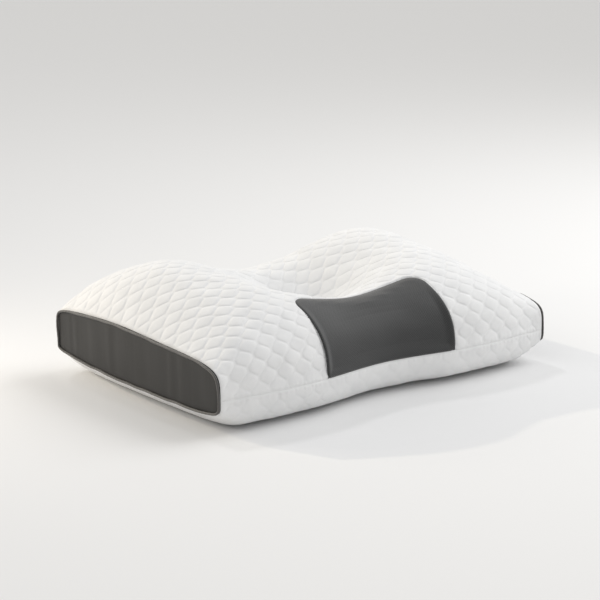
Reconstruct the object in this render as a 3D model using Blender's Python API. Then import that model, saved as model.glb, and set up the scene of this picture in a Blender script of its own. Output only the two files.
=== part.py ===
"""Contoured cervical pillow: a zipped quilted cover round a partitioned, fibre-filled core.

Metres. +X runs along the pillow's length, -Y is the side that carries the neck, +Z is up.
The origin is the centre of the pillow's box, on the surface that it rests on.
"""

import math

import bmesh
import bpy

# Outline, seen from above. "u" is the distance from the middle over SKIN_HALF_LENGTH.
SKIN_HALF_LENGTH = 0.3047
END_HALF_DEPTH_FRONT, END_HALF_DEPTH_BACK = 0.213, 0.219
WAIST_HALF_DEPTH = 0.2015
WING_HALF_DEPTH = 0.2205
WING_FULL, WING_OVER = 0.54, 0.66
BACK_ARC_RADIUS = 1.1
BACK_ARC_HALF_LENGTH = 0.157
BACK_WING_X = 0.228
BACK_WING_OVER = 0.75

# Heights above the resting surface.
SEAM_HEIGHT = 0.0525
WAIST_CROWN = 0.1545
WING_CROWN = 0.169
WING_CROWN_FULL = 0.76
CROWN_FALLS_FROM, CROWN_FALL_POWER = 0.33, 2.13
END_TOP, END_RISE, END_RISE_Y, END_RISE_REACH = 0.1035, 0.008, 0.060, 0.130
END_BASE, END_BASE_CURVE = 0.0245, 0.25
BASE_LIFTS_FROM, BASE_LIFT_POWER = 0.85, 1.85
FLATTENING = 0.002

# Squareness of the cross-section: the power of a superellipse.
TOP_POWER, BASE_POWER = 2.67, 4.8
END_TOP_POWER_FRONT, END_TOP_POWER_BACK = 5.1, 12.0
END_BASE_POWER_FRONT, END_BASE_POWER_BACK = 5.2, 9.0

# The hollow for the head, and the swell of each wing: height, centre and reach.
HOLLOW_DEPTH, HOLLOW_Y, HOLLOW_REACH_X, HOLLOW_REACH_Y = 0.0764, 0.002, 0.0936, 0.0869
SWELL, SWELL_X, SWELL_Y, SWELL_REACH_X, SWELL_REACH_Y = 0.029, 0.238, 0.090, 0.127, 0.183

# Fabric layers, as distances in from the outer skin.
COVER_THICKNESS = 0.005
MESH_THICKNESS = 0.003
CORE_SKIN = (0.012, 0.0135)
PARTITION_INSET = 0.017
FILL_INSET = 0.020
SEAM_GAP = 0.0008
PANEL_GAP = 0.0005

# Neck panel, end panels and their piping.
NECK_PANEL_HALF_WIDTH = 0.1215
NECK_PANEL_TOP = math.radians(58)
END_PANEL_FROM, END_PANEL_TO = 0.3051, 0.3090
END_PANEL_INSET = 0.0052
PIPING_RADIUS = 0.0023
PIPING_INSET = 0.0024
PIPING_X = 0.3076

# Zip along the back seam.
ZIP_OPENING_HALF_LENGTH = 0.155
ZIP_OPENING_HALF_HEIGHT = 0.0128
ZIP_ROW_MOST = math.radians(21)
TAPE_HALF_LENGTH = 0.1545
TAPE_REACH = (0.0031, 0.0124)
TAPE_HALF_THICKNESS = 0.0004
COIL_HALF_LENGTH = 0.144
COIL_CENTRE = 0.0018
COIL_RADIUS = 0.0012
STOP_FROM = 0.1446
STOP_LENGTH = 0.002
STOP_HALF_HEIGHT = 0.0028
SLIDER_X = 0.134
SLIDER_LENGTH = 0.010
SLIDER_HALF_HEIGHT = 0.0042
SLIDER_PLATES = (0.0018, 0.0030)
SLIDER_LIP = 0.0008
SLIDER_WEB_THICKNESS = 0.0006
SLIDER_WEB_LENGTH = 0.004
SLIDER_WEB_SETBACK = 0.0003
BRIDGE_HALF_LENGTH = 0.003
BRIDGE_HEIGHT = 0.0030
BRIDGE_THICKNESS = 0.0008
BRIDGE_HALF_WIDTH = 0.0012
BRIDGE_CORNER = 0.001
PULL_LENGTH = 0.024
PULL_HALF_WIDTH = 0.0030
PULL_THICKNESS = 0.0012
PULL_EYE_HALF_WIDTH = 0.0017
PULL_EYE_LENGTH = 0.0042
PULL_CORNER = 0.0015

# Care label, sewn into the back seam beyond the zip.
LABEL_X = -0.188
LABEL_HALF_WIDTH = 0.015
LABEL_LENGTH = 0.030
LABEL_THICKNESS = 0.0007
LABEL_CLEARANCE = 0.0006
LABEL_DROP = 0.001

# The core's rooms.
SIDE_PARTITION_X = 0.122
CROSS_PARTITION_Y = 0.055
PARTITION_THICKNESS = 0.002
ROOM_GAP = 0.003
WING_FILL_END = 0.284
CORE_HALF_LENGTH = 0.296
CORE_END_THICKNESS = 0.0015
CORE_END_GAP = 0.0006
CORE_END_INSET = 0.014
CROSS_PARTITION_END_GAP = 0.001
SLICE_REACH = 0.985

QUARTER_ANGLES = (0, 12, 22, 31, 38, 44, 51, 58, 66, 74, 82)
BASE_ANGLES = (0, 14, 28, 38, 45, 54, 70)
HALF_STATIONS = (
    0.0, 0.020, 0.040, 0.060, 0.080, 0.100, NECK_PANEL_HALF_WIDTH, 0.138,
    ZIP_OPENING_HALF_LENGTH, 0.178, 0.203, 0.228, 0.250, 0.268, 0.282, 0.295,
    SKIN_HALF_LENGTH,
)

MATERIALS = {
    "quilted_knit": ((0.87, 0.87, 0.86), 0.85, 0.0),
    "neck_mesh": ((0.065, 0.068, 0.068), 0.75, 0.0),
    "end_satin": ((0.050, 0.047, 0.043), 0.45, 0.0),
    "piping_cord": ((0.030, 0.029, 0.028), 0.5, 0.0),
    "zip_tape": ((0.80, 0.80, 0.79), 0.8, 0.0),
    "zip_nylon": ((0.78, 0.78, 0.77), 0.35, 0.0),
    "zip_metal": ((0.62, 0.62, 0.63), 0.3, 1.0),
    "label_satin": ((0.88, 0.88, 0.87), 0.4, 0.0),
    "core_cloth": ((0.82, 0.82, 0.80), 0.8, 0.0),
    "fibre_fill": ((0.90, 0.90, 0.89), 0.95, 0.0),
}


def ease(t):
    """0 to 1 with a level start and end."""
    t = min(max(t, 0.0), 1.0)
    return t * t * (3 - 2 * t)


def back_waist(x):
    """How far the back seam lies behind the waist: an arc for the zip, then a rise to the wing."""
    rise = WING_HALF_DEPTH - WAIST_HALF_DEPTH
    reach = min(abs(x), BACK_ARC_HALF_LENGTH)
    arc = BACK_ARC_RADIUS - math.sqrt(BACK_ARC_RADIUS**2 - reach**2)
    if abs(x) <= BACK_ARC_HALF_LENGTH:
        return arc
    span = BACK_WING_X - BACK_ARC_HALF_LENGTH
    t = min((abs(x) - BACK_ARC_HALF_LENGTH) / span, 1.0)
    slope = reach / math.sqrt(BACK_ARC_RADIUS**2 - reach**2) * span
    return arc + (rise - arc) * ease(t) + slope * t * (1 - t) ** 2


def half_depth(x, back):
    u = abs(x) / SKIN_HALF_LENGTH
    rise = WING_HALF_DEPTH - WAIST_HALF_DEPTH
    wing = back_waist(x) if back else ease(u / WING_FULL) * rise
    over = BACK_WING_OVER if back else WING_OVER
    end = WING_HALF_DEPTH - (END_HALF_DEPTH_BACK if back else END_HALF_DEPTH_FRONT)
    end *= ease((u - over) / (1 - over))
    return WAIST_HALF_DEPTH + wing - end


def crown(x, y):
    """Height of the top over a point, before the sides round it off."""
    u = abs(x) / SKIN_HALF_LENGTH
    full = WAIST_CROWN + (WING_CROWN - WAIST_CROWN) * ease(u / WING_CROWN_FULL)
    fall = max(0.0, (u - CROWN_FALLS_FROM) / (1 - CROWN_FALLS_FROM)) ** CROWN_FALL_POWER
    hollow = math.exp(-(x / HOLLOW_REACH_X) ** 2 - ((y - HOLLOW_Y) / HOLLOW_REACH_Y) ** 2)
    swell = math.exp(
        -((abs(x) - SWELL_X) / SWELL_REACH_X) ** 2 - ((y - SWELL_Y) / SWELL_REACH_Y) ** 2
    )
    end = END_TOP + END_RISE * math.exp(-((y - END_RISE_Y) / END_RISE_REACH) ** 2)
    plain = full - (full - end) * fall
    return plain - HOLLOW_DEPTH * hollow + SWELL * swell * (1 - min(u, 1.0) ** 8)


def base(x, y):
    """Height of the underside below a point, before the sides round it off."""
    u = abs(x) / SKIN_HALF_LENGTH
    lift = max(0.0, (u - BASE_LIFTS_FROM) / (1 - BASE_LIFTS_FROM)) ** BASE_LIFT_POWER
    end = END_BASE + END_BASE_CURVE * max(0.0, y) ** 2
    return (end + FLATTENING) * lift - FLATTENING


def power(x, top, back):
    """The superellipse's power at x: rounder in the middle, squarer at the ends."""
    middle = TOP_POWER if top else BASE_POWER
    end = END_BASE_POWER_BACK if back else END_BASE_POWER_FRONT
    if top:
        end = END_TOP_POWER_BACK if back else END_TOP_POWER_FRONT
    return middle + (end - middle) * min(abs(x) / SKIN_HALF_LENGTH, 1.0) ** 6


def height(x, y, up, top, inset):
    """Height of the skin where the cross-section is the share "up" of its full height."""
    if top:
        return SEAM_HEIGHT + (crown(x, y) - inset - SEAM_HEIGHT) * up
    return max(inset, SEAM_HEIGHT - (SEAM_HEIGHT - base(x, y) - inset) * up)


def skin(x, angle, inset=0.0):
    """A point of the skin. The angle is 0 at the front seam, pi/2 on top and pi at the back seam."""
    across, up = abs(math.cos(angle)), abs(math.sin(angle))
    top, back = math.sin(angle) >= 0, math.cos(angle) < 0
    n = power(x, top, back)
    size = (across**n + up**n) ** (-1 / n)
    y = (half_depth(x, back) - inset) * across * size * (1 if back else -1)
    return (x, y, height(x, y, up * size, top, inset))


def column(x, y, inset):
    """Lowest and highest z inside the skin at (x, y)."""
    share = min(abs(y) / (half_depth(x, y > 0) - inset), 1.0)
    heights = []
    for top in (False, True):
        n = power(x, top, y > 0)
        heights.append(height(x, y, (1 - share**n) ** (1 / n), top, inset))
    return heights


def zip_row(x, top):
    """The angle at which the skin is ZIP_OPENING_HALF_HEIGHT from the back seam, or less."""
    y = half_depth(x, True)
    full = abs(height(x, y, 1.0, top, 0.0) - SEAM_HEIGHT)
    up = ZIP_OPENING_HALF_HEIGHT / full
    n = power(x, top, True)
    turn = min(math.atan2(up, (1 - up**n) ** (1 / n)), ZIP_ROW_MOST)
    return math.pi - turn if top else math.pi + turn


def material(name):
    made = bpy.data.materials.get(name)
    if made:
        return made
    colour, roughness, metallic = MATERIALS[name]
    made = bpy.data.materials.new(name)
    made.use_nodes = True
    shader = made.node_tree.nodes["Principled BSDF"]
    shader.inputs["Base Color"].default_value = (*colour, 1.0)
    shader.inputs["Roughness"].default_value = roughness
    shader.inputs["Metallic"].default_value = metallic
    made.diffuse_color = (*colour, 1.0)
    return made


def add_node(name, points, faces, finish, smooth=True):
    """One closed solid as its own object, with its faces turned outwards."""
    mesh = bpy.data.meshes.new(name)
    mesh.from_pydata(points, [], faces)
    shape = bmesh.new()
    shape.from_mesh(mesh)
    bmesh.ops.recalc_face_normals(shape, faces=shape.faces)
    shape.to_mesh(mesh)
    shape.free()
    if smooth:
        mesh.shade_smooth()
        mesh.set_sharp_from_angle(angle=math.radians(40))
    mesh.materials.append(material(finish))
    node = bpy.data.objects.new(name, mesh)
    bpy.context.scene.collection.objects.link(node)
    return node


def mirrored(values):
    """0, a, b becomes -b, -a, 0, a, b."""
    return [-v for v in reversed(values) if v > 0] + list(values)


def thick_patch(name, stations, rows, depths, finish, keep=lambda i, j: True):
    """A fabric layer between two depths under the skin: a grid of cells, closed at its rims.

    stations are x values, rows are functions that give an angle and a lift at x, and keep
    says which cells are cloth.
    """
    count = len(rows)
    points = []
    for inset in depths:
        for x in stations:
            for row in rows:
                angle, lift = row(x)
                px, py, pz = skin(x, angle, inset)
                points.append((px, py, pz + lift))
    layer = len(stations) * count
    cells = [
        (i, j) for i in range(len(stations) - 1) for j in range(count - 1) if keep(i, j)
    ]
    faces = []
    rims = {}
    for i, j in cells:
        ring = [i * count + j, (i + 1) * count + j, (i + 1) * count + j + 1, i * count + j + 1]
        faces.append(ring)
        faces.append([layer + k for k in reversed(ring)])
        for a, b in zip(ring, ring[1:] + ring[:1]):
            edge = tuple(sorted((a, b)))
            rims[edge] = None if edge in rims else (a, b)
    faces += [[b, a, layer + a, layer + b] for a, b in filter(None, rims.values())]
    used = sorted({k for face in faces for k in face})
    order = {k: n for n, k in enumerate(used)}
    faces = [[order[k] for k in face] for face in faces]
    return add_node(name, [points[k] for k in used], faces, finish)


def loft(name, loops, finish, smooth=True):
    """A solid through closed loops of equal length, with flat ends."""
    count = len(loops[0])
    points = [point for loop in loops for point in loop]
    faces = [list(range(count)), [len(points) - 1 - k for k in range(count)]]
    for n in range(len(loops) - 1):
        for k in range(count):
            a, b = n * count + k, n * count + (k + 1) % count
            faces.append([a, b, b + count, a + count])
    return add_node(name, points, faces, finish, smooth)


def fixed_row(degrees, lift=0.0):
    return lambda x: (math.radians(degrees), lift)


def top_rows():
    front = [fixed_row(0, SEAM_GAP / 2)] + [fixed_row(a) for a in QUARTER_ANGLES[1:]]
    back = [fixed_row(180 - a) for a in reversed(QUARTER_ANGLES[2:])]
    zip_edge = [lambda x: (zip_row(x, True), 0.0), fixed_row(180, SEAM_GAP / 2)]
    return front + [fixed_row(90)] + back + zip_edge


def base_rows():
    front = [fixed_row(-a) for a in BASE_ANGLES[1:]]
    back = [fixed_row(a - 180) for a in reversed(BASE_ANGLES[2:])]
    zip_edge = [lambda x: (zip_row(x, False), 0.0), fixed_row(-180, -SEAM_GAP / 2)]
    return [fixed_row(0, -SEAM_GAP / 2)] + front + [fixed_row(-90)] + back + zip_edge


def make_covers():
    stations = mirrored(HALF_STATIONS)
    middles = [(a + b) / 2 for a, b in zip(stations, stations[1:])]
    panel_rows = QUARTER_ANGLES.index(round(math.degrees(NECK_PANEL_TOP)))

    def in_zip(i, j, rows):
        return abs(middles[i]) < ZIP_OPENING_HALF_LENGTH and j == len(rows) - 2

    def in_neck_panel(i, j):
        return abs(middles[i]) < NECK_PANEL_HALF_WIDTH and j < panel_rows

    top, under = top_rows(), base_rows()
    depths = (0.0, COVER_THICKNESS)
    thick_patch(
        "top_cover", stations, top, depths, "quilted_knit",
        lambda i, j: not in_neck_panel(i, j) and not in_zip(i, j, top),
    )
    thick_patch(
        "bottom_cover", stations, under, depths, "quilted_knit",
        lambda i, j: not in_zip(i, j, under),
    )


def make_neck_panel():
    edge = NECK_PANEL_HALF_WIDTH
    inner = [x for x in mirrored(HALF_STATIONS) if abs(x) < edge - PANEL_GAP]
    stations = [PANEL_GAP - edge] + inner + [edge - PANEL_GAP]
    gap_angle = PANEL_GAP / WAIST_HALF_DEPTH
    rows = [row for row in top_rows() if row(0.0)[0] < NECK_PANEL_TOP - gap_angle]
    rows.append(lambda x: (NECK_PANEL_TOP - gap_angle, 0.0))
    thick_patch("neck_panel", stations, rows, (0.0, MESH_THICKNESS), "neck_mesh")


def end_loop(x, inset):
    """The end of the cover, as a loop at x drawn in by inset."""
    angles = [math.radians(a) for a in QUARTER_ANGLES] + [math.pi / 2]
    angles += [math.pi - a for a in reversed(angles[:-1])]
    below = [math.radians(a) for a in BASE_ANGLES[1:]] + [math.pi / 2]
    angles += [math.pi + a for a in below]
    angles += [2 * math.pi - a for a in reversed(below[:-1])]
    return [(x, *skin(SKIN_HALF_LENGTH, a, inset)[1:]) for a in angles]


def make_end(side, sign):
    loops = [end_loop(sign * x, END_PANEL_INSET) for x in (END_PANEL_FROM, END_PANEL_TO)]
    loft(f"{side}_end_panel", loops, "end_satin")

    centre = end_loop(sign * PIPING_X, PIPING_INSET)
    curve = bpy.data.curves.new(f"{side}_piping", "CURVE")
    curve.dimensions = "3D"
    curve.bevel_depth = PIPING_RADIUS
    curve.bevel_resolution = 1
    spline = curve.splines.new("POLY")
    spline.points.add(len(centre) - 1)
    for target, point in zip(spline.points, centre):
        target.co = (*point, 1.0)
    spline.use_cyclic_u = True
    curve.materials.append(material("piping_cord"))
    cord = bpy.data.objects.new(f"{side}_piping", curve)
    bpy.context.scene.collection.objects.link(cord)


def extrude_profile(profile, x0, x1):
    """Loops of a profile, a list of (y, z), at x0 and x1."""
    return [[(x, y, z) for y, z in profile] for x in (x0, x1)]


def along_back_seam(half_length, profile, steps=16):
    """Loops of a profile, a list of (out, z), swept along the back seam's arc."""
    half_turn = math.asin(half_length / BACK_ARC_RADIUS)
    loops = []
    for k in range(steps + 1):
        turn = half_turn * (2 * k / steps - 1)
        loops.append([on_back_arc(turn, out, z) for out, z in profile])
    return loops


def on_back_arc(turn, out, z):
    """A point at an angle along the back seam's arc, a distance outside it."""
    radius = BACK_ARC_RADIUS - out
    y = WAIST_HALF_DEPTH + BACK_ARC_RADIUS - radius * math.cos(turn)
    return (radius * math.sin(turn), y, z)


def make_zip_tapes_and_coils():
    for side, sign in (("upper", 1), ("lower", -1)):
        near, far = (SEAM_HEIGHT + sign * reach for reach in TAPE_REACH)
        half = TAPE_HALF_THICKNESS
        profile = [(-half, near), (half, near), (half, far), (-half, far)]
        loops = along_back_seam(TAPE_HALF_LENGTH, profile)
        loft(f"zip_{side}_tape", loops, "zip_tape", smooth=False)

        centre = SEAM_HEIGHT + sign * COIL_CENTRE
        ring = [2 * math.pi * (k + 0.5) / 8 for k in range(8)]
        profile = [
            (COIL_RADIUS * math.cos(a), centre + COIL_RADIUS * math.sin(a)) for a in ring
        ]
        loft(f"zip_{side}_coil", along_back_seam(COIL_HALF_LENGTH, profile), "zip_nylon")


def make_zip_stops():
    for end, sign in (("closed", 1), ("open", -1)):
        loops = []
        for reach in (STOP_FROM, STOP_FROM + STOP_LENGTH):
            turn = sign * math.asin(reach / BACK_ARC_RADIUS)
            loops.append([
                on_back_arc(turn, out, SEAM_HEIGHT + z)
                for out, z in (
                    (-COIL_RADIUS, -STOP_HALF_HEIGHT), (COIL_RADIUS, -STOP_HALF_HEIGHT),
                    (COIL_RADIUS, STOP_HALF_HEIGHT), (-COIL_RADIUS, STOP_HALF_HEIGHT),
                )
            ])
        loft(f"zip_{end}_stop", loops, "zip_metal", smooth=False)


def make_slider(seat):
    """Two plates with turned-in lips, the web between the coils, and the pull's bridge."""
    near, far = SLIDER_PLATES
    reach, lip = SLIDER_HALF_HEIGHT, SLIDER_LIP
    web = SLIDER_WEB_THICKNESS / 2
    half = SLIDER_LENGTH / 2
    plates = []
    for sign in (-1, 1):
        profile = [
            (sign * far, -reach), (sign * far, reach), (sign * (near - lip), reach),
            (sign * (near - lip), reach - lip), (sign * near, reach - lip),
            (sign * near, lip - reach), (sign * (near - lip), lip - reach),
            (sign * (near - lip), -reach),
        ]
        loops = extrude_profile(profile, -half, half)
        plates.append(loft(f"slider_plate_{sign}", loops, "zip_metal", smooth=False))
    overlap = (near + far) / 2
    section = [(-overlap, -web), (overlap, -web), (overlap, web), (-overlap, web)]
    loops = extrude_profile(section, half - SLIDER_WEB_LENGTH, half - SLIDER_WEB_SETBACK)
    plates.append(loft("slider_web", loops, "zip_metal", smooth=False))
    outer, inner = BRIDGE_HALF_LENGTH, BRIDGE_HALF_LENGTH - BRIDGE_THICKNESS
    top, foot, cut = far + BRIDGE_HEIGHT, overlap, BRIDGE_CORNER
    arch = [
        (-outer, foot), (-outer, top - cut), (cut - outer, top), (outer - cut, top),
        (outer, top - cut), (outer, foot), (inner, foot), (inner, top - BRIDGE_THICKNESS),
        (-inner, top - BRIDGE_THICKNESS), (-inner, foot),
    ]
    loops = [[(x, y, z) for x, y in arch] for z in (-BRIDGE_HALF_WIDTH, BRIDGE_HALF_WIDTH)]
    plates.append(loft("slider_bridge", loops, "zip_metal", smooth=False))

    slider = plates[0]
    for other in plates[1:]:
        joined = slider.modifiers.new("join", "BOOLEAN")
        joined.operation = "UNION"
        joined.object = other
        other.hide_render = True
        other.display_type = "WIRE"
        other.parent = seat
    slider.name = "zip_slider"
    slider.parent = seat
    return slider


def make_pull(pin, seat):
    """A flat tab whose end bar runs through the slider's bridge, lying back along the zip."""
    half, eye, cut = PULL_HALF_WIDTH, PULL_EYE_HALF_WIDTH, PULL_CORNER
    flat = PULL_THICKNESS / 2
    tip, bar, far = -PULL_LENGTH, -flat, -flat - PULL_EYE_LENGTH
    outline = [
        (flat, -half), (flat, half), (tip + cut, half), (tip, half - cut),
        (tip, cut - half), (tip + cut, -half),
    ]
    hole = [(bar, -eye), (bar, eye), (far, eye), (far, -eye)]
    points = []
    for loop in (outline, hole):
        for y in (-flat, flat):
            points += [(x, y, z) for x, z in loop]
    n, m = len(outline), len(hole)
    faces = [[k, (k + 1) % n, n + (k + 1) % n, n + k] for k in range(n)]
    first = 2 * n
    faces += [
        [first + k, first + m + k, first + m + (k + 1) % m, first + (k + 1) % m]
        for k in range(m)
    ]
    for ring, eyelet in ((0, first), (n, first + m)):
        faces += [
            [ring + 0, ring + 1, eyelet + 1, eyelet + 0],
            [ring + 1, ring + 2, eyelet + 2, eyelet + 1],
            [ring + 2, ring + 3, ring + 4, ring + 5, eyelet + 3, eyelet + 2],
            [ring + 5, ring + 0, eyelet + 0, eyelet + 3],
        ]
    pull = add_node("zip_pull", points, faces, "zip_metal", smooth=False)
    pull.parent = seat
    pull.location = pin


def make_zip():
    make_zip_tapes_and_coils()
    make_zip_stops()
    turn = math.asin(SLIDER_X / BACK_ARC_RADIUS)
    seat = bpy.data.objects.new("slider_seat", None)
    seat.location = on_back_arc(turn, 0.0, SEAM_HEIGHT)
    seat.rotation_euler = (0.0, 0.0, turn)
    bpy.context.scene.collection.objects.link(seat)
    make_slider(seat)
    pin_height = SLIDER_PLATES[1] + (BRIDGE_HEIGHT - BRIDGE_THICKNESS) / 2
    make_pull((0.0, pin_height, 0.0), seat)


def make_label():
    """A blank tab that hangs from the back seam, just clear of the bottom cover."""
    loops = []
    for x in (LABEL_X - LABEL_HALF_WIDTH, LABEL_X, LABEL_X + LABEL_HALF_WIDTH):
        outside = half_depth(x, True) + LABEL_CLEARANCE
        top, foot = SEAM_HEIGHT - LABEL_DROP, SEAM_HEIGHT - LABEL_DROP - LABEL_LENGTH
        loops.append([
            (x, outside, top), (x, outside + LABEL_THICKNESS, top),
            (x, outside + LABEL_THICKNESS, foot), (x, outside, foot),
        ])
    loft("care_label", loops, "label_satin", smooth=False)


def make_core_skin():
    skipped = (0.138, ZIP_OPENING_HALF_LENGTH, 0.282)
    half = [x for x in HALF_STATIONS[:-2] if x not in skipped]
    stations = mirrored(half + [CORE_HALF_LENGTH])
    quarter = [fixed_row(a) for a in QUARTER_ANGLES[1:]]
    back = [fixed_row(180 - a) for a in reversed(QUARTER_ANGLES[1:])]
    rows = [fixed_row(0, SEAM_GAP), *quarter, fixed_row(90), *back, fixed_row(180, SEAM_GAP)]
    thick_patch("core_top", stations, rows, CORE_SKIN, "core_cloth")
    quarter = [fixed_row(-a) for a in BASE_ANGLES[1:]]
    back = [fixed_row(a - 180) for a in reversed(BASE_ANGLES[1:])]
    rows = [fixed_row(0, -SEAM_GAP), *quarter, fixed_row(-90), *back, fixed_row(-180, -SEAM_GAP)]
    thick_patch("core_bottom", stations, rows, CORE_SKIN, "core_cloth")
    for side, sign in (("left", -1), ("right", 1)):
        start = CORE_HALF_LENGTH + CORE_END_GAP
        loops = []
        for x in (start, start + CORE_END_THICKNESS):
            loops.append(end_loop(sign * x, CORE_END_INSET))
        loft(f"core_{side}_end", loops, "core_cloth")


def slice_loop(x, front, back, inset, count=9):
    """The skin's cross-section at x, cut off at y = front and y = back."""
    limit_front = (half_depth(x, False) - inset) * SLICE_REACH
    limit_back = (half_depth(x, True) - inset) * SLICE_REACH
    y0, y1 = max(front, -limit_front), min(back, limit_back)
    middle, reach = (y0 + y1) / 2, (y1 - y0) / 2
    ys = [middle - reach * math.cos(math.pi * k / (count - 1)) for k in range(count)]
    low = [(x, y, column(x, y, inset)[0]) for y in ys]
    high = [(x, y, column(x, y, inset)[1]) for y in reversed(ys)]
    return low + high


def make_partitions():
    half = PARTITION_THICKNESS / 2
    for side, sign in (("left", -1), ("right", 1)):
        place = sign * SIDE_PARTITION_X
        loops = [slice_loop(place + d, -1, 1, PARTITION_INSET, 15) for d in (-half, half)]
        loft(f"{side}_partition", loops, "core_cloth")
    reach = SIDE_PARTITION_X - half - CROSS_PARTITION_END_GAP
    xs = [reach * k / 6 for k in range(-6, 7)]
    for side, y in (("front", -CROSS_PARTITION_Y), ("back", CROSS_PARTITION_Y)):
        loops = [slice_loop(x, y - half, y + half, PARTITION_INSET, 2) for x in xs]
        loft(f"{side}_partition", loops, "core_cloth")


def make_fills():
    start = SIDE_PARTITION_X + PARTITION_THICKNESS / 2 + ROOM_GAP
    xs = [start + (WING_FILL_END - start) * k / 8 for k in range(9)]
    for side, sign in (("left", -1), ("right", 1)):
        loops = [slice_loop(sign * x, -1, 1, FILL_INSET, 15) for x in xs]
        loft(f"{side}_wing_fill", loops, "fibre_fill")
    reach = SIDE_PARTITION_X - PARTITION_THICKNESS / 2 - ROOM_GAP
    xs = [reach * k / 6 for k in range(-6, 7)]
    wall = CROSS_PARTITION_Y + PARTITION_THICKNESS / 2 + ROOM_GAP
    inside = CROSS_PARTITION_Y - PARTITION_THICKNESS / 2 - ROOM_GAP
    rooms = {
        "neck_roll_fill": (-1, -wall),
        "head_cradle_fill": (-inside, inside),
        "crown_roll_fill": (wall, 1),
    }
    for name, (front, back) in rooms.items():
        loops = [slice_loop(x, front, back, FILL_INSET) for x in xs]
        loft(name, loops, "fibre_fill")


def clear_scene():
    for item in list(bpy.data.objects):
        bpy.data.objects.remove(item)


def main():
    clear_scene()
    make_covers()
    make_neck_panel()
    make_end("left", -1)
    make_end("right", 1)
    make_zip()
    make_label()
    make_core_skin()
    make_partitions()
    make_fills()


main()
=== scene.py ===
"""Looks of the contoured cervical pillow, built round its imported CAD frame. Metres."""

import math

import bmesh
import bpy
import numpy as np
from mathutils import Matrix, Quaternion, Vector


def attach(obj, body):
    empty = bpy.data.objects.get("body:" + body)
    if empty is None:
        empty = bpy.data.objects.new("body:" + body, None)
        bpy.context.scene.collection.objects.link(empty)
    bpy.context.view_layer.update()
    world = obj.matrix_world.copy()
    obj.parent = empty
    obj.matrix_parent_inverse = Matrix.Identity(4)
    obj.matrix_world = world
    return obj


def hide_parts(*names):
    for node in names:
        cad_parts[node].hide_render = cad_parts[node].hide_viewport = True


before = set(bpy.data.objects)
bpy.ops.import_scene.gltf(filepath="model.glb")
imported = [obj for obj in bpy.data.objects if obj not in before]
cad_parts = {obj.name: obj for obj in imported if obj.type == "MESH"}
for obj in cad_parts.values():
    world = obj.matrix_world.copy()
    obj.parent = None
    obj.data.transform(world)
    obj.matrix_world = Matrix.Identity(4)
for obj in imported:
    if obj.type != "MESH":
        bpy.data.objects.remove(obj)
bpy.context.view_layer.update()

# The skin's shape, as in the CAD source. "u" is the distance from the middle over HALF_LENGTH.
HALF_LENGTH = 0.3047
WAIST_HALF_DEPTH, WING_HALF_DEPTH = 0.2015, 0.2205
END_FRONT_HALF_DEPTH, END_BACK_HALF_DEPTH = 0.213, 0.219
WING_FULL, WING_OVER, BACK_WING_OVER = 0.54, 0.66, 0.75
ARC_RADIUS, ARC_HALF_LENGTH, BACK_WING_X = 1.1, 0.157, 0.228
SEAM_HEIGHT = 0.0525
WAIST_CROWN, WING_CROWN, WING_CROWN_FULL = 0.1545, 0.169, 0.76
FALLS_FROM, FALL_POWER = 0.33, 2.13
END_TOP, END_RISE, END_RISE_Y, END_RISE_REACH = 0.1035, 0.008, 0.060, 0.130
END_BASE, END_BASE_CURVE = 0.0245, 0.25
LIFTS_FROM, LIFT_POWER, FLATTENING = 0.85, 1.85, 0.002
TOP_POWER, BASE_POWER = 2.67, 4.8
END_TOP_FRONT_POWER, END_TOP_BACK_POWER = 5.1, 12.0
END_BASE_FRONT_POWER, END_BASE_BACK_POWER = 5.2, 9.0
HOLLOW = (0.0764, 0.002, 0.0936, 0.0869)
SWELL = (0.029, 0.238, 0.090, 0.127, 0.183)
PANEL_HALF_WIDTH, PANEL_TOP_ANGLE, PANEL_CORNER = 0.1215, math.radians(58), 0.027
ZIP_HALF_LENGTH, ZIP_HALF_HEIGHT = 0.155, 0.0100
TAPE_HALF_LENGTH, COIL_HALF_LENGTH = 0.1545, 0.144
PIPING_X, PIPING_RADIUS, PIPING_INSET = 0.3076, 0.0023, 0.0024
LABEL_X, LABEL_HALF_WIDTH, LABEL_LENGTH = -0.188, 0.015, 0.030

# Quilting: a honeycomb of cells in alternate rows, each made of rings round its middle.
CELL_LENGTH, CELL_ROW, SHORT_SIDE = 0.0308, 0.0172, 0.0032
CELL_PHASE = (-0.1958, 0.0608)
ROW_BEND, ROWS_BEND_FROM = 1.35, 0.1925
CELL_RISE, CELL_DOME, DOME_REACH, ROUNDING = 0.0006, 0.0007, 0.0115, 0.0013
GROOVE_FLOOR, GROOVE_FLANK = 0.0006, 0.0020
CELL_ODDNESS = 0.12
CELL_LEVEL = 0.55
RINGS = (1.0, 0.935, 0.885, 0.83, 0.765, 0.56, 0.28)
STEPS_ALONG_SIDE = 4
HALF_CELL = CELL_LENGTH / 2
PEAK = CELL_ROW - SHORT_SIDE
CELL_CORNERS = (
    (HALF_CELL, -SHORT_SIDE), (HALF_CELL, SHORT_SIDE), (0.0, PEAK),
    (-HALF_CELL, SHORT_SIDE), (-HALF_CELL, -SHORT_SIDE), (0.0, -PEAK),
)

# The cloth beside its seams.
HEM = 0.006
HEM_ROWS = (0.3, 0.55, 0.75, 0.89, 1.0)
OPENING_ROLL = (-0.0005, -0.0012, -0.0020)
SETTLE_HEIGHT, SETTLE_EASE = 0.0011, 0.03
PUCKER_HEIGHT, PUCKER_LENGTH, PUCKER_REACH = 0.00035, 0.0093, 0.010
TUCK_DEPTH, TUCK_REACH = 0.0016, 0.0016
PANEL_GROOVE, PANEL_GROOVE_REACH, UNDER_PANEL = 0.0012, 0.0013, 0.0013
PANEL_FINE_REACH, PANEL_LAP = 0.0045, 0.0065

# The end panels' cloth.
END_EDGE_X, END_BULGE, END_INSET = 0.3046, 0.0042, 0.0009


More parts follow.
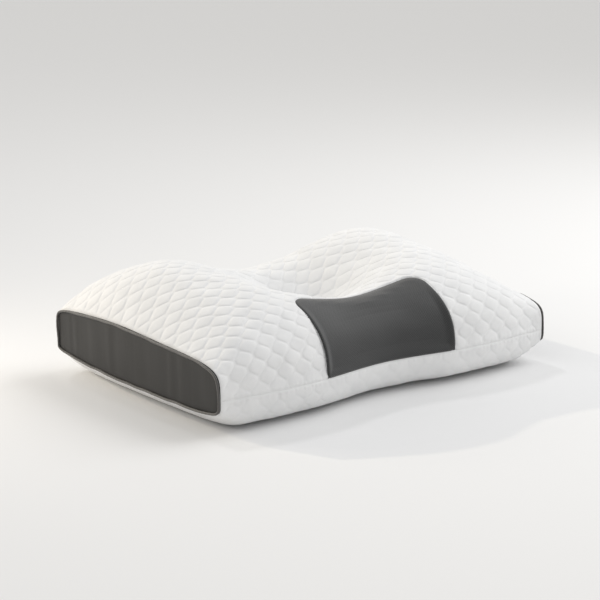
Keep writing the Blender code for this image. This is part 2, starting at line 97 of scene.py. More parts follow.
def ease(t):
    t = np.clip(t, 0.0, 1.0)
    return t * t * (3 - 2 * t)


def back_waist(x):
    rise = WING_HALF_DEPTH - WAIST_HALF_DEPTH
    reach = np.minimum(abs(x), ARC_HALF_LENGTH)
    arc = ARC_RADIUS - np.sqrt(ARC_RADIUS**2 - reach**2)
    span = BACK_WING_X - ARC_HALF_LENGTH
    t = np.clip((abs(x) - ARC_HALF_LENGTH) / span, 0.0, 1.0)
    slope = ARC_HALF_LENGTH / math.sqrt(ARC_RADIUS**2 - ARC_HALF_LENGTH**2) * span
    return arc + ((rise - arc) * ease(t) + slope * t * (1 - t) ** 2) * (t > 0)


def half_depth(x, back):
    u = abs(x) / HALF_LENGTH
    rise = WING_HALF_DEPTH - WAIST_HALF_DEPTH
    wing = np.where(back, back_waist(x), ease(u / WING_FULL) * rise)
    over = np.where(back, BACK_WING_OVER, WING_OVER)
    end = WING_HALF_DEPTH - np.where(back, END_BACK_HALF_DEPTH, END_FRONT_HALF_DEPTH)
    return WAIST_HALF_DEPTH + wing - ease((u - over) / (1 - over)) * end


def crown(x, y):
    u = abs(x) / HALF_LENGTH
    full = WAIST_CROWN + (WING_CROWN - WAIST_CROWN) * ease(u / WING_CROWN_FULL)
    fall = np.maximum(0.0, (u - FALLS_FROM) / (1 - FALLS_FROM)) ** FALL_POWER
    deep, at_y, reach_x, reach_y = HOLLOW
    hollow = np.exp(-((x / reach_x) ** 2) - ((y - at_y) / reach_y) ** 2)
    high, at_x, at_y, reach_x, reach_y = SWELL
    swell = np.exp(-(((abs(x) - at_x) / reach_x) ** 2) - ((y - at_y) / reach_y) ** 2)
    end = END_TOP + END_RISE * np.exp(-(((y - END_RISE_Y) / END_RISE_REACH) ** 2))
    plain = full - (full - end) * fall
    return plain - deep * hollow + high * swell * (1 - np.minimum(u, 1.0) ** 8)


def base(x, y):
    u = abs(x) / HALF_LENGTH
    lift = np.maximum(0.0, (u - LIFTS_FROM) / (1 - LIFTS_FROM)) ** LIFT_POWER
    end = END_BASE + END_BASE_CURVE * np.maximum(0.0, y) ** 2
    return (end + FLATTENING) * lift - FLATTENING


def skin(x, angle, inset=0.0):
    """Points of the skin for arrays of x and angle: 0 at the front seam, pi at the back one."""
    across, up = abs(np.cos(angle)), abs(np.sin(angle))
    top, back = np.sin(angle) >= 0, np.cos(angle) < 0
    end = np.where(
        top,
        np.where(back, END_TOP_BACK_POWER, END_TOP_FRONT_POWER),
        np.where(back, END_BASE_BACK_POWER, END_BASE_FRONT_POWER),
    )
    middle = np.where(top, TOP_POWER, BASE_POWER)
    n = middle + (end - middle) * np.minimum(abs(x) / HALF_LENGTH, 1.0) ** 6
    size = (across**n + up**n) ** (-1 / n)
    y = (half_depth(x, back) - inset) * across * size * np.where(back, 1, -1)
    high = SEAM_HEIGHT + (crown(x, y) - inset - SEAM_HEIGHT) * up * size
    low = SEAM_HEIGHT - (SEAM_HEIGHT - base(x, y) - inset) * up * size
    return np.stack([x + 0 * y, y, np.where(top, high, np.maximum(inset, low))], -1)


class Girth:
    """One half of the skin, over x and t, the share of the way round from the front to the
    back seam. The sign is 1 for the upper half and -1 for the lower one."""

    def __init__(self, sign):
        self.sign = sign
        self.xs = np.linspace(-HALF_LENGTH, HALF_LENGTH, 245)
        fine = np.linspace(0, sign * math.pi, 721)
        points = skin(self.xs[:, None], fine[None, :])
        steps = np.linalg.norm(np.diff(points, axis=1), axis=2)
        along = np.concatenate([np.zeros((len(self.xs), 1)), np.cumsum(steps, axis=1)], axis=1)
        self.total = along[:, -1]
        shares = np.linspace(0, 1, 601)
        self.angles = np.stack([np.interp(shares * s[-1], s, fine) for s in along])
        self.along, self.fine = along, fine

    def length(self, x):
        return np.interp(x, self.xs, self.total)

    def girth_at(self, x, angle):
        """Distance along the girth from the front seam to an angle."""
        column = np.array([np.interp(angle, self.sign * self.fine, s) for s in self.along])
        return np.interp(x, self.xs, column)

    def angle(self, x, t):
        return lookup(self.angles, (x + HALF_LENGTH) / (2 * HALF_LENGTH), t)

    def point(self, x, t):
        return skin(x, self.angle(x, t))

    def normal(self, x, t):
        h, k = 0.0008, 0.0015
        low_x, high_x = np.maximum(x - h, -HALF_LENGTH), np.minimum(x + h, HALF_LENGTH)
        low_t, high_t = np.maximum(t - k, 0.0), np.minimum(t + k, 1.0)
        du = self.point(high_x, t) - self.point(low_x, t)
        dv = self.point(x, high_t) - self.point(x, low_t)
        normal = np.cross(du, dv) * self.sign
        return normal / np.maximum(np.linalg.norm(normal, axis=-1, keepdims=True), 1e-12)


def lookup(table, a, b):
    """Values of a table at the shares a and b of its two sides."""
    n, m = table.shape
    fa, fb = np.clip(a, 0, 1) * (n - 1), np.clip(b, 0, 1) * (m - 1)
    i, j = np.minimum(fa.astype(int), n - 2), np.minimum(fb.astype(int), m - 2)
    fa, fb = fa - i, fb - j
    low = table[i, j] * (1 - fb) + table[i, j + 1] * fb
    high = table[i + 1, j] * (1 - fb) + table[i + 1, j + 1] * fb
    return low * (1 - fa) + high * fa


TOP, UNDER = Girth(1), Girth(-1)


def waves(x, y, seed, count=14, longest=0.22, shortest=0.035):
    """A smooth field of about unit height, made of a few sine waves."""
    random = np.random.default_rng(seed)
    total = 0.0
    for k in range(count):
        length = longest * (shortest / longest) ** (k / (count - 1))
        turn, phase = random.uniform(0, 2 * math.pi, 2)
        total = total + (length / longest) ** 0.7 * np.sin(
            2 * math.pi * (x * math.cos(turn) + y * math.sin(turn)) / length + phase
        )
    return total / 2.5


def box_distance(across, along, corner):
    """Distance outside a box with rounded corners, from the distances past its two sides."""
    across, along = across + corner, along + corner
    outside = np.hypot(np.maximum(across, 0), np.maximum(along, 0))
    return outside + np.minimum(np.maximum(across, along), 0) - corner


def panel_distance(x, girth):
    """Distance outside the neck panel's outline, which is open at the front seam."""
    top = TOP.girth_at(x, PANEL_TOP_ANGLE)
    return box_distance(abs(x) - PANEL_HALF_WIDTH, girth - top, PANEL_CORNER)


def zip_distance(x, off_seam):
    """Distance outside the zip's opening."""
    return box_distance(abs(x) - ZIP_HALF_LENGTH, off_seam - ZIP_HALF_HEIGHT, 0.0)


# Meshes.


def link(made):
    bpy.context.scene.collection.objects.link(made)
    return made


def add_piece(name, mesh, finish):
    mesh.shade_smooth()
    mesh.materials.clear()
    mesh.materials.append(MATERIALS[finish])
    return link(bpy.data.objects.new(name, mesh))


def grid_mesh(name, points, finish, flip=False, close=False, fields=None):
    """A sheet of quads from a grid of points, closed into a loop across its rows if asked."""
    n, m = points.shape[:2]
    index = np.arange(n * m).reshape(n, m)
    if close:
        index = np.concatenate([index, index[:, :1]], axis=1)
    a, b = index[:-1, :-1], index[1:, :-1]
    c, d = index[1:, 1:], index[:-1, 1:]
    quads = np.stack([a, b, c, d] if not flip else [a, d, c, b], -1).reshape(-1, 4)
    mesh = bpy.data.meshes.new(name)
    mesh.vertices.add(n * m)
    mesh.vertices.foreach_set("co", points.astype(np.float32).ravel())
    mesh.loops.add(quads.size)
    mesh.loops.foreach_set("vertex_index", quads.astype(np.int32).ravel())
    mesh.polygons.add(len(quads))
    mesh.polygons.foreach_set("loop_start", np.arange(0, quads.size, 4, dtype=np.int32))
    mesh.update(calc_edges=True)
    mesh.validate()
    set_fields(mesh, fields or {})
    return add_piece(name, mesh, finish)


def merge_points(mesh, distance, fill=False):
    """Merges points that meet, closes open ends if asked, and turns the faces outwards."""
    merged = bmesh.new()
    merged.from_mesh(mesh)
    bmesh.ops.remove_doubles(merged, verts=merged.verts, dist=distance)
    if fill:
        bmesh.ops.holes_fill(merged, edges=[e for e in merged.edges if e.is_boundary], sides=0)
    bmesh.ops.recalc_face_normals(merged, faces=merged.faces)
    merged.to_mesh(mesh)
    merged.free()


def set_fields(mesh, fields):
    """Values for each vertex that materials read."""
    for key, values in fields.items():
        field = mesh.attributes.new(key, "FLOAT", "POINT")
        field.data.foreach_set("value", np.ravel(values).astype(np.float32))


def place(piece, body, slot, *nodes):
    """Hangs a piece on its body and hides the CAD nodes it stands for. The slot argument is not
    used.
    """
    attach(piece, body)
    if nodes:
        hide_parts(*nodes)
    return piece


# Materials.


def new_material(name, colour, roughness, metallic=0.0, sheen=0.0, specular=0.5):
    made = bpy.data.materials.new(name)
    made.use_nodes = True
    shader = made.node_tree.nodes["Principled BSDF"]
    shader.inputs["Base Color"].default_value = (*colour, 1.0)
    shader.inputs["Roughness"].default_value = roughness
    shader.inputs["Metallic"].default_value = metallic
    shader.inputs["Sheen Weight"].default_value = sheen
    shader.inputs["Sheen Roughness"].default_value = 0.5
    shader.inputs["Specular IOR Level"].default_value = specular
    return made, made.node_tree, shader


def node(tree, kind, links=None, **settings):
    made = tree.nodes.new(kind)
    for key, value in settings.items():
        if key in made.inputs:
            made.inputs[key].default_value = value
        else:
            setattr(made, key, value)
    for key, source in (links or {}).items():
        tree.links.new(source, made.inputs[key])
    return made


def stretched(tree, scale):
    """Object coordinates, scaled."""
    source = tree.nodes.new("ShaderNodeTexCoord")
    mapping = node(tree, "ShaderNodeMapping", {"Vector": source.outputs["Object"]})
    mapping.inputs["Scale"].default_value = scale
    return mapping.outputs["Vector"]


def noise(tree, scale, detail, stretch=(1, 1, 1), distortion=0.0):
    made = node(tree, "ShaderNodeTexNoise", {"Vector": stretched(tree, stretch)},
                Scale=scale, Detail=detail, Distortion=distortion)
    return made.outputs["Fac"]


def dots(tree, vector, randomness):
    """Distance from the middles of small cells."""
    made = node(tree, "ShaderNodeTexVoronoi", {"Vector": vector},
                Scale=1.0, Randomness=randomness)
    return made.outputs["Distance"]


def on_cloth(tree, along, across):
    """Coordinates on the bias of a cover's cloth, from x and the distance along its girth."""
    source = tree.nodes.new("ShaderNodeTexCoord")
    parts = node(tree, "ShaderNodeSeparateXYZ", {"Vector": source.outputs["Object"]})
    girth = node(tree, "ShaderNodeAttribute", attribute_name="girth")
    joined = node(tree, "ShaderNodeCombineXYZ",
                  {"X": parts.outputs["X"], "Y": girth.outputs["Fac"]})
    mapping = node(tree, "ShaderNodeMapping", {"Vector": joined.outputs["Vector"]})
    mapping.inputs["Rotation"].default_value = (0, 0, math.radians(45))
    mapping.inputs["Scale"].default_value = (along, across, 1)
    return mapping.outputs["Vector"]


def tinted(tree, shader, factor, dark, light):
    """A base colour between two tones."""
    ramp = tree.nodes.new("ShaderNodeValToRGB")
    ramp.color_ramp.elements[0].color = (*dark, 1)
    ramp.color_ramp.elements[1].color = (*light, 1)
    tree.links.new(factor, ramp.inputs["Fac"])
    tree.links.new(ramp.outputs["Color"], shader.inputs["Base Color"])
    return ramp


def bumped(tree, shader, height, distance, strength, after=None):
    """Fine relief in the shading, on top of an earlier bump if one is given."""
    bump = node(tree, "ShaderNodeBump", {"Height": height}, Distance=distance, Strength=strength)
    if after:
        tree.links.new(after.outputs["Normal"], bump.inputs["Normal"])
    tree.links.new(bump.outputs["Normal"], shader.inputs["Normal"])
    return bump


def white_knit():
    """Fine-gauge knit: rows of small stitches, with a faint mottle."""
    made, tree, shader = new_material(
        "quilted_knit", (0.87, 0.87, 0.865), 0.92, sheen=0.2, specular=0.25
    )
    ramp = tinted(tree, shader, noise(tree, 38.0, 4.0),
                  (0.785, 0.786, 0.785), (0.835, 0.835, 0.832))
    ramp.color_ramp.elements[0].position = 0.35
    ramp.color_ramp.elements[1].position = 0.65
    stitches = dots(tree, on_cloth(tree, 1000, 800), 0.2)
    knit = bumped(tree, shader, stitches, 0.0002, 0.35)
    bumped(tree, shader, noise(tree, 420.0, 3.0), 0.0002, 0.3, after=knit)
    return made


def dark_mesh():
    """Charcoal spacer mesh: staggered holes between lighter threads."""
    made, tree, shader = new_material(
        "neck_mesh", (0.06, 0.062, 0.062), 0.62, sheen=0.3, specular=0.4
    )
    holes = dots(tree, on_cloth(tree, 430, 430), 0.08)
    ramp = tinted(tree, shader, holes,
                  (0.012, 0.0124, 0.0124), (0.038, 0.0388, 0.0388))
    ramp.color_ramp.elements[0].position = 0.15
    ramp.color_ramp.elements[1].position = 0.50
    bumped(tree, shader, holes, 0.0006, 0.7)
    return made


def end_satin():
    """Close dark weave with a soft sheen and faint upright streaks."""
    made, tree, shader = new_material(
        "end_satin", (0.042, 0.040, 0.037), 0.50, sheen=0.08, specular=0.35
    )
    tinted(tree, shader, noise(tree, 1.0, 5.0, stretch=(30, 160, 6)),
           (0.014, 0.0133, 0.0122), (0.024, 0.0228, 0.0210))
    weave = dots(tree, stretched(tree, (1400, 1400, 900)), 0.2)
    bumped(tree, shader, weave, 0.0002, 0.4)
    return made


def plain_cloth(name, dark, light, roughness, threads=900.0, sheen=0.2, strength=0.5):
    """Cloth whose crossing threads show in its colour and its surface."""
    made, tree, shader = new_material(name, light, roughness, sheen=sheen, specular=0.3)
    weave = dots(tree, stretched(tree, (threads, threads, threads)), 0.3)
    tinted(tree, shader, weave, light, dark)
    bumped(tree, shader, weave, 0.0003, strength)
    return made


def zip_metal():
    made, tree, shader = new_material("zip_metal", (0.6, 0.6, 0.61), 0.3, metallic=1.0)
    worn = noise(tree, 300.0, 6.0)
    tinted(tree, shader, worn, (0.50, 0.50, 0.51), (0.70, 0.70, 0.71))
    bumped(tree, shader, worn, 0.0001, 0.3)
    return made


def zip_nylon():
    made, tree, shader = new_material("zip_nylon", (0.78, 0.78, 0.77), 0.35)
    grain = noise(tree, 500.0, 3.0)
    tinted(tree, shader, grain, (0.70, 0.70, 0.69), (0.84, 0.84, 0.83))
    bumped(tree, shader, grain, 0.0001, 0.3)
    return made


def fibre():
    """Loose fibre: clumps with fine strands over them."""
    made, tree, shader = new_material("fibre_fill", (0.9, 0.9, 0.89), 0.95, sheen=0.5)
    clumps = noise(tree, 60.0, 8.0, distortion=1.5)
    tinted(tree, shader, clumps, (0.80, 0.80, 0.79), (0.95, 0.95, 0.94))
    bumped(tree, shader, clumps, 0.004, 0.8)
    return made


MATERIALS = {
    "quilted_knit": white_knit(),
    "neck_mesh": dark_mesh(),
    "end_satin": end_satin(),
    # The cord is dark grey. Its colours here are set lighter than that, as a painted highlight
    # for its lit edge.
    "piping_cord": plain_cloth(
        "piping_cord", (0.055, 0.052, 0.049), (0.115, 0.110, 0.104), 0.45, 1500.0, 0.3, 0.3
    ),
    "zip_tape": plain_cloth("zip_tape", (0.66, 0.66, 0.65), (0.84, 0.84, 0.83), 0.85, 1300.0),
    "zip_nylon": zip_nylon(),
    "zip_metal": zip_metal(),
    "label_satin": plain_cloth(
        "label_satin", (0.80, 0.80, 0.79), (0.90, 0.90, 0.89), 0.4, 1600.0, 0.3, 0.25
    ),
    "core_cloth": plain_cloth("core_cloth", (0.74, 0.74, 0.72), (0.85, 0.85, 0.83), 0.85),
    "fibre_fill": fibre(),
    "white_thread": plain_cloth(
        "white_thread", (0.7, 0.7, 0.69), (0.86, 0.86, 0.85), 0.6, 3000.0
    ),
}

# Quilted covers.


def lattice_bend(x):
    """How far the rows of cells bend away towards the two ends."""
    return ROW_BEND * np.maximum(0.0, abs(x) - ROWS_BEND_FROM) ** 2


def cell_height(x, girth):
    """Height of the quilting over its stitch lines, in metres."""
    v = (girth + lattice_bend(x) - CELL_PHASE[1]) / CELL_ROW
    u = (x - CELL_PHASE[0]) / CELL_LENGTH
    slope = (PEAK - SHORT_SIDE) / HALF_CELL
    steep = math.hypot(1.0, slope)
    inside, rounded, number = np.full(np.shape(u), -9.0), 0.0 * u, 0.0 * u
    for row in (np.floor(v), np.floor(v) + 1):
        shift = 0.5 * np.mod(row, 2)
        column = np.round(u - shift)
        du, dv = abs(u - shift - column) * CELL_LENGTH, abs(v - row) * CELL_ROW
        sides = (HALF_CELL - du, (PEAK - dv - slope * du) / steep,
                 (PEAK - dv + slope * du) / steep)
        least = -ROUNDING * np.log(
            sum(np.exp(-np.clip(d, -0.02, 0.03) / ROUNDING) for d in sides)
        )
        exact = np.minimum(np.minimum(sides[0], sides[1]), sides[2])
        closer = exact > inside
        number = np.where(closer, column * 13.0 + row * 57.0, number)
        rounded = np.where(closer, least, rounded)
        inside = np.where(closer, exact, inside)
    rounded = np.maximum(0.0, rounded)
    rise = ease((rounded - GROOVE_FLOOR) / GROOVE_FLANK)
    dome = 1 - (1 - np.minimum(rounded / DOME_REACH, 1.0)) ** 2
    odd = 1 + CELL_ODDNESS * np.sin(number * 2.399)
    return (CELL_RISE * rise + CELL_DOME * dome) * odd


def cell_template():
    """Offsets of one cell's vertices, ring by ring, its middle last, and its faces."""
    outline = []
    for k, (x0, y0) in enumerate(CELL_CORNERS):
        x1, y1 = CELL_CORNERS[(k + 1) % 6]
        steps = 1 if k in (0, 3) else STEPS_ALONG_SIDE
        outline += [
            (x0 + (x1 - x0) * j / steps, y0 + (y1 - y0) * j / steps) for j in range(steps)
        ]
    count = len(outline)
    offsets = [(x * f, y * f) for f in RINGS for x, y in outline] + [(0.0, 0.0)]
    faces = []
    for ring in range(len(RINGS) - 1):
        at = ring * count
        faces += [
            (at + k, at + (k + 1) % count, at + count + (k + 1) % count, at + count + k)
            for k in range(count)
        ]
    last = (len(RINGS) - 1) * count
    faces += [(last + k, last + (k + 1) % count, len(RINGS) * count) for k in range(count)]
    return np.array(offsets), faces


def flat_honeycomb(side):
    """The cells laid out flat in (x, distance from the back seam), out past the hem's line."""
    offsets, template = cell_template()
    longest = side.total.max()
    rows = [side.sign * k for k in range(-6, int(longest / CELL_ROW) + 8)]
    columns = range(-6, int(2 * HALF_LENGTH / CELL_LENGTH) + 4)
    flat = bmesh.new()
    edge_x = HALF_LENGTH - HEM
    for row in rows:
        for column in columns:
            x0 = CELL_PHASE[0] + (column + 0.5 * (row % 2)) * CELL_LENGTH
            g0 = CELL_PHASE[1] + row * CELL_ROW
            if abs(x0) > edge_x + HALF_CELL:
                continue
            x, g = x0 + offsets[:, 0], g0 + offsets[:, 1]
            g = side.sign * (g - lattice_bend(x))
            total = side.length(np.clip(x, -edge_x, edge_x))
            if g.max() < HEM or (g - total).min() > -HEM:
                continue
            verts = [flat.verts.new((a, b, 0.0)) for a, b in zip(x, side.length(x) - g)]
            for face in template:
                flat.faces.new([verts[k] for k in face])
    bmesh.ops.remove_doubles(flat, verts=flat.verts, dist=2e-5)
    return flat


def cut_outline(flat, side):
    """Cuts the flat cover along the hem's inner lines at the ends, the back and the front."""
    def cut(point, normal):
        geom = list(flat.verts) + list(flat.edges) + list(flat.faces)
        bmesh.ops.bisect_plane(
            flat, geom=geom, dist=1e-6, plane_co=point, plane_no=normal, clear_outer=True
        )

    edge_x = HALF_LENGTH - HEM
    cut((edge_x, 0, 0), (1, 0, 0))
    cut((-edge_x, 0, 0), (-1, 0, 0))
    cut((0, HEM, 0), (0, -1, 0))
    for vert in flat.verts:
        vert.co.y = side.length(vert.co.x) - vert.co.y
    cut((0, HEM, 0), (0, -1, 0))
    for vert in flat.verts:
        vert.co.y = side.length(vert.co.x) - vert.co.y


def cut_zip_opening(flat):
    """Cuts the zip's opening out of the flat cover along straight lines."""
    lines = (
        ((0, ZIP_HALF_HEIGHT, 0), (0, 1, 0)),
        ((ZIP_HALF_LENGTH, 0, 0), (1, 0, 0)),
        ((-ZIP_HALF_LENGTH, 0, 0), (1, 0, 0)),
    )
    for point, normal in lines:
        near = [
            f for f in flat.faces
            if min(v.co.y for v in f.verts) < ZIP_HALF_HEIGHT + CELL_ROW
            and min(abs(v.co.x) for v in f.verts) < ZIP_HALF_LENGTH + CELL_ROW
        ]
        rims = {e for f in near for e in f.edges} | {v for f in near for v in f.verts}
        geom = near + list(rims)
        bmesh.ops.bisect_plane(flat, geom=geom, dist=1e-6, plane_co=point, plane_no=normal)
    inside = []
    for face in flat.faces:
        middle = face.calc_center_median()
        if abs(middle.x) < ZIP_HALF_LENGTH and middle.y < ZIP_HALF_HEIGHT:
            inside.append(face)
    bmesh.ops.delete(flat, geom=inside, context="FACES")


def refine_by_panel(flat):
    """Finer faces along the neck panel's outline, and none well under the panel."""
    def distance_of(points):
        x, off = np.array([p[0] for p in points]), np.array([p[1] for p in points])
        return panel_distance(x, TOP.length(x) - off)

    for most in (0.0028, 0.0016):
        verts = list(flat.verts)
        distances = distance_of([v.co for v in verts])
        near = {v for v, d in zip(verts, distances) if abs(d) < PANEL_FINE_REACH}
        edges = [
            e for e in flat.edges
            if e.verts[0] in near and e.verts[1] in near and e.calc_length() > most
        ]
        bmesh.ops.subdivide_edges(flat, edges=edges, cuts=1, use_grid_fill=True)
    faces = list(flat.faces)
    distances = distance_of([f.calc_center_median() for f in faces])
    under = [f for f, d in zip(faces, distances) if d < -PANEL_LAP]
    bmesh.ops.delete(flat, geom=under, context="FACES")


def add_hems(flat, side):
    """Rows of faces out to the seams, and a rolled edge at the zip. Marks each vertex's drop
    below the cloth."""
    drop = flat.verts.layers.float.new("drop")
    edge_x, small = HALF_LENGTH - HEM, 4e-6

    def side_of(vert):
        x, off = vert.co.x, vert.co.y
        ends = abs(x) > edge_x - small
        back = off < HEM + small
        front = off > side.length(x) - HEM - small
        opening = zip_distance(abs(x), off) < small
        return ends, back, front, opening

    rim = [e for e in flat.edges if e.is_boundary]
    sides = {v: side_of(v) for e in rim for v in e.verts}
    made = {}

    def strip(vert, opening):
        """The new vertices outward from one on the rim."""
        if (vert, opening) in made:
            return made[vert, opening]
        x, off = vert.co.x, vert.co.y
        ends, back, front, _ = sides[vert]
        if opening:
            places = [(x, off, d) for d in OPENING_ROLL]
        else:
            to_x = math.copysign(HALF_LENGTH, x) if ends else x
            start = off / side.length(x)
            goal = 0.0 if back else 1.0 if front else start
            places = []
            for share in HEM_ROWS:
                new_x = x + (to_x - x) * share
                new_t = start + (goal - start) * share
                places.append((new_x, new_t * side.length(new_x), 0.0))
        new = []
        for x, off, low in places:
            new.append(flat.verts.new((x, off, 0.0)))
            new[-1][drop] = low
        made[vert, opening] = new
        return new

    for edge in rim:
        loop = edge.link_loops[0]
        a, b = loop.link_loop_next.vert, loop.vert
        opening = sides[a][3] and sides[b][3]
        if not opening and not any(p and q for p, q in zip(sides[a][:3], sides[b][:3])):
            continue
        rows = list(zip([a] + strip(a, opening), [b] + strip(b, opening)))
        for (a0, b0), (a1, b1) in zip(rows, rows[1:]):
            flat.faces.new((a0, b0, b1, a1))
    return drop


def cover_offsets(x, t, girth, off_back, side):
    """Height of the cover's cloth over the skin."""
    sign = side.sign
    end = HALF_LENGTH - abs(x)
    seam = np.minimum(np.minimum(girth, off_back), end)
    zipper = zip_distance(x, off_back)
    edge = np.minimum(seam, np.maximum(zipper, 0) + 0.001)
    level = CELL_LEVEL * (CELL_RISE + CELL_DOME)
    strength = 1.0
    if sign > 0:
        panel = panel_distance(x, girth)
        edge = np.minimum(edge, np.maximum(panel, 0))
    else:
        lifted = ease((side.point(x, t)[..., 2] - 0.001) / 0.012)
        strength = 0.25 + 0.35 * lifted * (1 - ease((0.13 - abs(x)) / 0.02) * (t < 0.5))
    swell = cloth_swell(x, t, sign)
    quilt = (cell_height(x, sign * girth) - level) * ease(edge / 0.006) * strength
    settle = SETTLE_HEIGHT * waves(x, sign * girth, 3 + sign) * ease(edge / SETTLE_EASE)
    fold = 2 * math.pi * (x / PUCKER_LENGTH + 0.6 * waves(x, girth, 9))
    pucker = PUCKER_HEIGHT * np.sin(fold)
    pucker = pucker * np.exp(-((seam / PUCKER_REACH) ** 2)) * ease(seam / 0.003)
    tuck = -TUCK_DEPTH * np.exp(-((seam / TUCK_REACH) ** 2))
    total = quilt + settle + pucker + tuck + swell
    if sign > 0:
        total = np.where(panel < 0, np.minimum(total, -UNDER_PANEL), total)
        groove = np.exp(-((panel / PANEL_GROOVE_REACH) ** 2))
        total = total - PANEL_GROOVE * groove * (panel > 0)
    else:
        total = total * (0.15 + 0.85 * lifted) - 0.0004 * (1 - lifted)
    return total


def make_cover(name, side):
    """One cover: laid out flat, cut, hemmed and then put on the skin."""
    sign = side.sign
    flat = flat_honeycomb(side)
    if sign > 0:
        refine_by_panel(flat)
    cut_outline(flat, side)
    cut_zip_opening(flat)
    drop = add_hems(flat, side)
    places = np.array([(v.co.x, v.co.y, v[drop]) for v in flat.verts])
    x, off = places[:, 0], places[:, 1]
    total = side.length(x)
    girth = np.clip(total - off, 0, total)
    t = girth / total
    lift = cover_offsets(x, t, girth, off, side) + places[:, 2]
    points = side.point(x, t) + side.normal(x, t) * lift[:, None]
    points[:, 2] = np.maximum(points[:, 2], 0.0002)
    for vert, point in zip(flat.verts, points):
        vert.co = point
    mesh = bpy.data.meshes.new(name)
    bmesh.ops.recalc_face_normals(flat, faces=flat.faces)
    flat.normal_update()
    upward = max(flat.faces, key=lambda f: f.calc_center_median().z * sign)
    if upward.normal.z * sign < 0:
        bmesh.ops.reverse_faces(flat, faces=flat.faces)
    flat.to_mesh(mesh)
    flat.free()
    mesh.attributes.remove(mesh.attributes["drop"])
    set_fields(mesh, {"girth": sign * girth})
    return add_piece(name, mesh, "quilted_knit")


# Cloth simulation, on a coarse copy of each closed form, that later pieces take their swell from.

SWELL_STATIONS, SWELL_ROWS = 73, 48
SWELL_MOST, SWELL_REST = 0.0026, 0.0012
CLOTH_PRESSURE, COVER_STRETCH, END_STRETCH, CLOTH_FRAMES = 4.0, 12.0, 15.0, 20


def simulate_cloth(name, points, faces, pinned, stretch):
    """Where cloth goes under pressure from inside, held at some points, without gravity."""
    mesh = bpy.data.meshes.new(name)
    mesh.from_pydata([tuple(p) for p in points], [], faces)
    mesh.update()
    piece = link(bpy.data.objects.new(name, mesh))
    group = piece.vertex_groups.new(name="held")
    group.add([int(k) for k in pinned], 1.0, "REPLACE")
    cloth = piece.modifiers.new("cloth", "CLOTH")
    settings = cloth.settings
    settings.quality = 6
    settings.vertex_group_mass = "held"
    settings.use_pressure = True
    settings.uniform_pressure_force = CLOTH_PRESSURE
    settings.tension_stiffness = settings.compression_stiffness = stretch
    settings.effector_weights.gravity = 0.0
    cloth.point_cache.frame_start, cloth.point_cache.frame_end = 1, CLOTH_FRAMES
    scene = bpy.context.scene
    for frame_number in range(1, CLOTH_FRAMES + 1):
        scene.frame_set(frame_number)
    done = piece.evaluated_get(bpy.context.evaluated_depsgraph_get()).to_mesh()
    moved = np.empty(len(points) * 3, np.float32)
    done.vertices.foreach_get("co", moved)
    scene.frame_set(1)
    bpy.data.objects.remove(piece)
    bpy.data.meshes.remove(mesh)
    return moved.reshape(-1, 3).astype(float)


def simulate_covers():
    """The swell of both covers between their seams, as one table for each side."""
    xs = np.linspace(-HALF_LENGTH, HALF_LENGTH, SWELL_STATIONS)
    shares = np.linspace(0, 1, SWELL_ROWS)
    grid_x, grid_t = np.meshgrid(xs, shares, indexing="ij")
    over, below = TOP.point(grid_x, grid_t), UNDER.point(grid_x, grid_t)
    around = np.concatenate([over, below[:, -2:0:-1]], axis=1)
    n, m = around.shape[:2]
    faces = [
        (i * m + j, (i + 1) * m + j, (i + 1) * m + (j + 1) % m, i * m + (j + 1) % m)
        for i in range(n - 1) for j in range(m)
    ]
    pinned = [
        i * m + j for i in range(n) for j in range(m)
        if i in (0, n - 1) or j in (0, SWELL_ROWS - 1) or around[i, j, 2] < 0.0005
    ]
    moved = simulate_cloth(
        "cover_cloth", around.reshape(-1, 3), faces, pinned, COVER_STRETCH
    )
    moved = moved.reshape(n, m, 3) - around
    tables = {}
    for side, columns in ((TOP, list(range(SWELL_ROWS))),
                          (UNDER, [0, *range(m - 1, SWELL_ROWS - 1, -1), SWELL_ROWS - 1])):
        normal = side.normal(grid_x, grid_t)
        out = (moved[:, columns] * normal).sum(-1)
        held = np.minimum(ease(np.minimum(shares, 1 - shares) / 0.03)[None, :],
                          ease((HALF_LENGTH - abs(xs)) / 0.015)[:, None])
        tables[side.sign] = (np.clip(out, -SWELL_MOST, SWELL_MOST) - SWELL_REST) * held
    return tables


def cloth_swell(x, t, sign):
    """How far the cloth stands out from the skin between its seams."""
    return lookup(SWELLS[sign], (x + HALF_LENGTH) / (2 * HALF_LENGTH), t)


SWELLS = simulate_covers()

# The neck panel, set into the top cover.


def make_neck_panel():
    """Rows run up the girth, and narrow round the panel's top corners."""
    shares, ts = np.linspace(0, 1, 121), np.linspace(-1, 1, 181)
    height = float(TOP.girth_at(np.array([0.0]), PANEL_TOP_ANGLE)[0])
    past = np.maximum(0.0, shares * height - height + PANEL_CORNER)
    narrow = PANEL_CORNER - np.sqrt(np.maximum(0.0, PANEL_CORNER**2 - past**2))
    x = ts[:, None] * (PANEL_HALF_WIDTH - narrow)[None, :]
    top = TOP.girth_at(x.ravel(), PANEL_TOP_ANGLE).reshape(x.shape)
    girth = shares[None, :] * top
    t = girth / TOP.length(x)
    inside = np.minimum(-panel_distance(x, girth), girth)
    inside = np.maximum(inside, 0.0)
    roll = -0.0024 * np.exp(-((inside / 0.0015) ** 2)) + 0.0004
    settle = 0.0005 * waves(x, girth, 5) * ease(inside / 0.02)
    swell = cloth_swell(x, t, 1) * ease(inside / 0.015)
    lift = roll + settle + swell
    points = TOP.point(x, t) + TOP.normal(x, t) * lift[..., None]
    return grid_mesh("neck_panel_mesh", points, "neck_mesh", fields={"girth": girth})


# The end panels and their piping.


